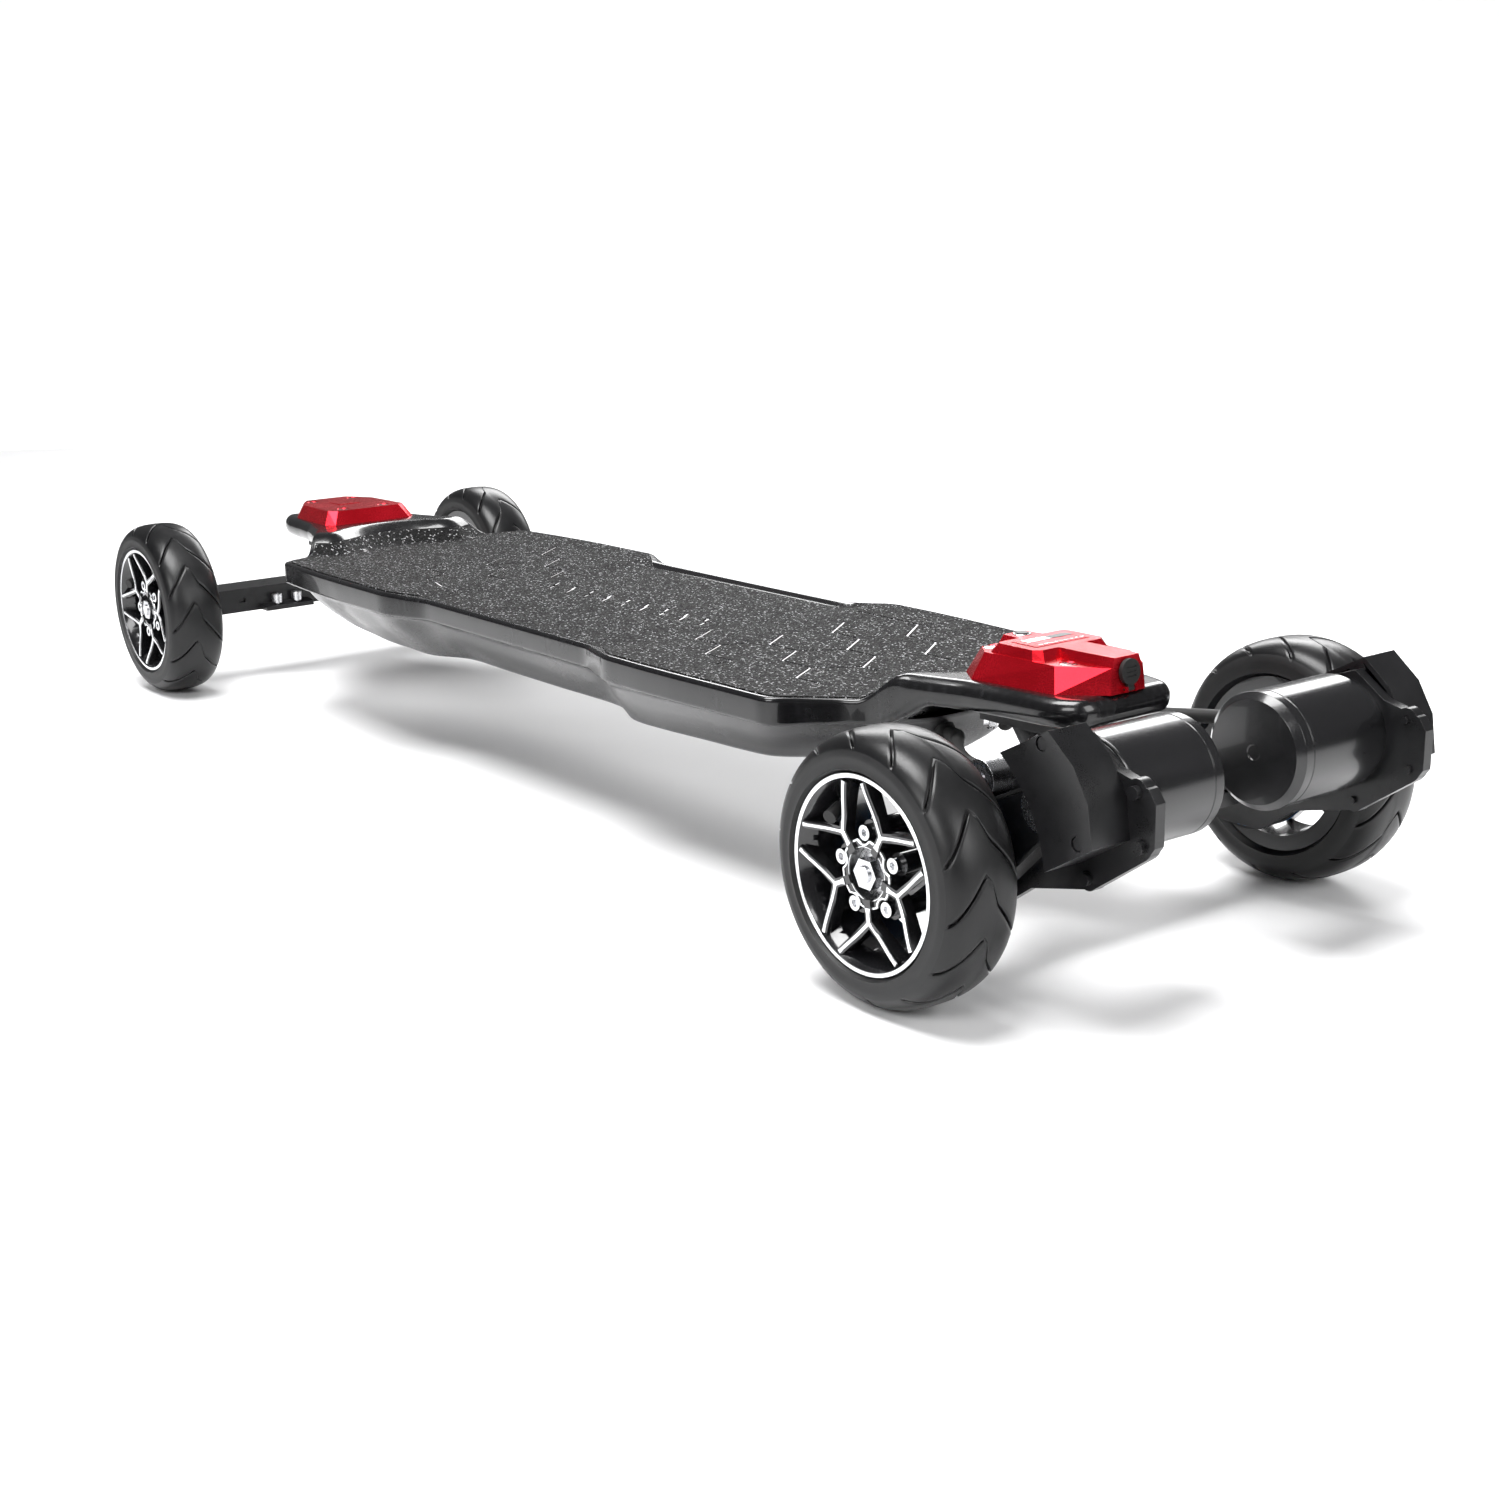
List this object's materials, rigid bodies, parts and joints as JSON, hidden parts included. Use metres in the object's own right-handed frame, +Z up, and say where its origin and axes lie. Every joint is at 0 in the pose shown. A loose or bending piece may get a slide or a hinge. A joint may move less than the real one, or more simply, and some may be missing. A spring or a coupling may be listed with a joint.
{
  "type": "electric skateboard",
  "caption": "Long electric skateboard: composite deck with a battery belly, raised tips under red covers, steering trucks, spoked pneumatic wheels and rear belt drives.",
  "frame": {"origin": "on the ground under the middle of the whole board", "axes": "+X to the nose, +Y to the rider's left, +Z up"},
  "size_m": [1.2395, 0.388, 0.1712],
  "materials": {
    "deck_composite": "gloss black lacquer over carbon-fibre composite",
    "grip": "coarse black grit tape with cut hexagon lines",
    "lid_composite": "satin black composite",
    "gasket": "matt black foam rubber",
    "screw_steel": "bright stainless steel",
    "cell_wrap": "blue shrink wrap",
    "cradle_plastic": "matt dark grey",
    "circuit_board": "green solder mask",
    "controller_case": "satin, finned",
    "red_anodised": "satin red anodised, machined facets",
    "badge": "brushed",
    "socket_plastic": "matt black",
    "riser_rubber": "matt black",
    "black_aluminium": "satin black, bead blasted and anodised",
    "bushing": "translucent orange urethane",
    "cup_plastic": "natural nylon",
    "cable_jacket": "satin black braided sleeve",
    "cap_rubber": "matt black with three ribs",
    "button": "satin steel",
    "axle_steel": "ground steel",
    "motor_can": "satin black with a polished groove",
    "belt_rubber": "matt black",
    "pulley_aluminium": "hard anodised grey",
    "bearing_steel": "bright, with black seals",
    "tyre": "semi-gloss black rubber with swept grooves",
    "rim": "gloss black with machined silver edges",
    "inner_tube": "matt black butyl",
    "wheel_bolt": "bright stainless steel"
  },
  "bodies": {
    "board": {"deck": "deck_composite", "grip_tape": "grip", "belly": "deck_composite", "belly_lid": "lid_composite", "lid_gasket": "gasket", "lid_screws": "screw_steel", "battery_cells": "cell_wrap", "battery_cradle": "cradle_plastic", "battery_board": "circuit_board", "speed_controller": "controller_case", "rear_cover": "red_anodised", "front_cover": "red_anodised", "badge_plates": "badge", "charge_socket": "socket_plastic", "truck_bolts": "screw_steel", "riser_pads": "riser_rubber", "baseplates": "black_aluminium", "kingpins": "screw_steel", "front_bushings": "bushing", "rear_bushings": "bushing", "pivot_cups": "cup_plastic", "motor_cables": "cable_jacket"},
    "charge_cap": {"charge_cap": "cap_rubber"},
    "power_button": {"power_button": "button"},
    "front_truck": {"front_hanger": "black_aluminium", "front_axle": "axle_steel", "front_fasteners": "screw_steel"},
    "rear_truck": {"rear_hanger": "black_aluminium", "rear_axle": "axle_steel", "rear_fasteners": "screw_steel", "motor_plates": "black_aluminium", "motors": "motor_can", "belt_covers": "black_aluminium", "belts": "belt_rubber"},
    "motor_rotor_left": {"motor_pulley_left": "pulley_aluminium"},
    "motor_rotor_right": {"motor_pulley_right": "pulley_aluminium"},
    "idler_left": {"idler_left": "bearing_steel"},
    "idler_right": {"idler_right": "bearing_steel"},
    "wheel_fl": {"tyre_fl": "tyre", "rim_fl": "rim", "tube_fl": "inner_tube", "wheel_bolts_fl": "wheel_bolt", "bearings_fl": "bearing_steel"},
    "wheel_fr": {"tyre_fr": "tyre", "rim_fr": "rim", "tube_fr": "inner_tube", "wheel_bolts_fr": "wheel_bolt", "bearings_fr": "bearing_steel"},
    "wheel_rl": {"tyre_rl": "tyre", "rim_rl": "rim", "tube_rl": "inner_tube", "wheel_bolts_rl": "wheel_bolt", "bearings_rl": "bearing_steel", "wheel_pulley_left": "pulley_aluminium"},
    "wheel_rr": {"tyre_rr": "tyre", "rim_rr": "rim", "tube_rr": "inner_tube", "wheel_bolts_rr": "wheel_bolt", "bearings_rr": "bearing_steel", "wheel_pulley_right": "pulley_aluminium"}
  },
  "joints": [
    {"name": "front_steer", "type": "hinge", "parent": "board", "child": "front_truck", "pos_m": [0.49379, 0, 0.09679], "axis": [0.788, 0, 0.6157], "range_deg": [-12, 12], "stiffness_Nm_per_rad": 60, "deforming": ["front_bushings"]},
    {"name": "rear_steer", "type": "hinge", "parent": "board", "child": "rear_truck", "pos_m": [-0.43629, 0, 0.09679], "axis": [-0.788, 0, 0.6157], "range_deg": [-12, 12], "stiffness_Nm_per_rad": 60, "deforming": ["rear_bushings", "motor_cables"]},
    {"name": "wheel_fl_spin", "type": "hinge", "parent": "front_truck", "child": "wheel_fl", "pos_m": [0.54225, 0.168, 0.0775], "axis": [0, 1, 0], "continuous": true},
    {"name": "wheel_fr_spin", "type": "hinge", "parent": "front_truck", "child": "wheel_fr", "pos_m": [0.54225, -0.168, 0.0775], "axis": [0, 1, 0], "continuous": true},
    {"name": "wheel_rl_spin", "type": "hinge", "parent": "rear_truck", "child": "wheel_rl", "pos_m": [-0.48475, 0.168, 0.0775], "axis": [0, 1, 0], "continuous": true},
    {"name": "wheel_rr_spin", "type": "hinge", "parent": "rear_truck", "child": "wheel_rr", "pos_m": [-0.48475, -0.168, 0.0775], "axis": [0, 1, 0], "continuous": true},
    {"name": "motor_left_spin", "type": "hinge", "parent": "rear_truck", "child": "motor_rotor_left", "pos_m": [-0.56225, 0.11, 0.121], "axis": [0, 1, 0], "continuous": true},
    {"name": "idler_left_spin", "type": "hinge", "parent": "rear_truck", "child": "idler_left", "pos_m": [-0.51545, 0.1265, 0.1266], "axis": [0, 1, 0], "continuous": true},
    {"name": "motor_right_spin", "type": "hinge", "parent": "rear_truck", "child": "motor_rotor_right", "pos_m": [-0.56225, -0.11, 0.121], "axis": [0, 1, 0], "continuous": true},
    {"name": "idler_right_spin", "type": "hinge", "parent": "rear_truck", "child": "idler_right", "pos_m": [-0.51545, -0.1265, 0.1266], "axis": [0, 1, 0], "continuous": true},
    {"name": "charge_cap_hinge", "type": "hinge", "parent": "board", "child": "charge_cap", "pos_m": [-0.49699, 0, 0.15128], "axis": [0, -1, 0], "range_deg": [0, 95]},
    {"name": "power_button_slide", "type": "slide", "parent": "board", "child": "power_button", "axis": [0, 0, -1], "range_m": [0, 0.0008], "stiffness_N_per_m": 400, "springref_m": -0.0005}
  ],
  "couplings": [
    {"joint": "motor_left_spin", "follows": "wheel_rl_spin", "ratio": 2.9333},
    {"joint": "idler_left_spin", "follows": "wheel_rl_spin", "ratio": -3.183},
    {"joint": "motor_right_spin", "follows": "wheel_rr_spin", "ratio": 2.9333},
    {"joint": "idler_right_spin", "follows": "wheel_rr_spin", "ratio": -3.183}
  ]
}
